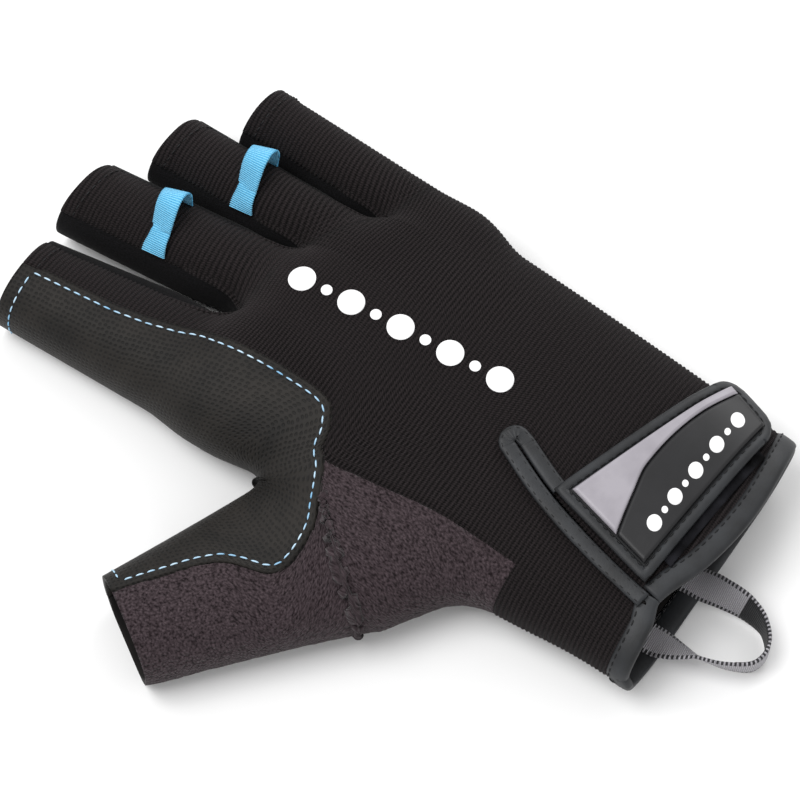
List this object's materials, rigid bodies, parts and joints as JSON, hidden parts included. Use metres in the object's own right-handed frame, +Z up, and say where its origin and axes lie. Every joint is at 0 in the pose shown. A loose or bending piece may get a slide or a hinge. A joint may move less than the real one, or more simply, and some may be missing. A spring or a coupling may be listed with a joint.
{
  "type": "via ferrata glove",
  "caption": "Right-hand half-finger climbing glove lying palm down, with a slit and strap closure on the back, a pull loop at the cuff and ribbon tabs on the fingers.",
  "frame": {"origin": "under the middle of the whole glove, on the surface that it lies on", "axes": "+Z up from the palm to the back of the hand, +Y the way the fingers point, +X towards the little finger"},
  "size_m": [0.1558, 0.219, 0.0311],
  "materials": {
    "ribbed_cloth": "ribbed stretch knit",
    "side_cloth": "smooth stretch knit",
    "grip_leather": "embossed with small dimples",
    "palm_leather": "suede side out",
    "towelling": "looped pile",
    "binding_tape": "smooth coated tape, folded over the edge",
    "strap_cloth": "smooth coated cloth with a bound rim",
    "grey_patch": "satin",
    "black_patch": "matte",
    "loop_cloth": "looped fastener fabric",
    "woven_tape": "woven tape",
    "ribbon": "grosgrain ribbon"
  },
  "bodies": {
    "root": {"back_panel": "ribbed_cloth", "fourchette_index_middle": "side_cloth", "fourchette_middle_ring": "side_cloth", "fourchette_ring_little": "side_cloth", "grip_panel": "grip_leather", "thumb_terry_panel": "towelling", "wrist_side_panel": "ribbed_cloth", "palm_panel": "palm_leather", "thumb_palm_panel": "palm_leather", "cuff_binding": "binding_tape", "slit_binding": "binding_tape", "closure_strap": "strap_cloth", "strap_grey_patch": "grey_patch", "strap_black_patch": "black_patch", "loop_fastener": "loop_cloth", "pull_loop": "woven_tape", "middle_finger_tab": "ribbon", "ring_finger_tab": "ribbon"}
  },
  "joints": []
}
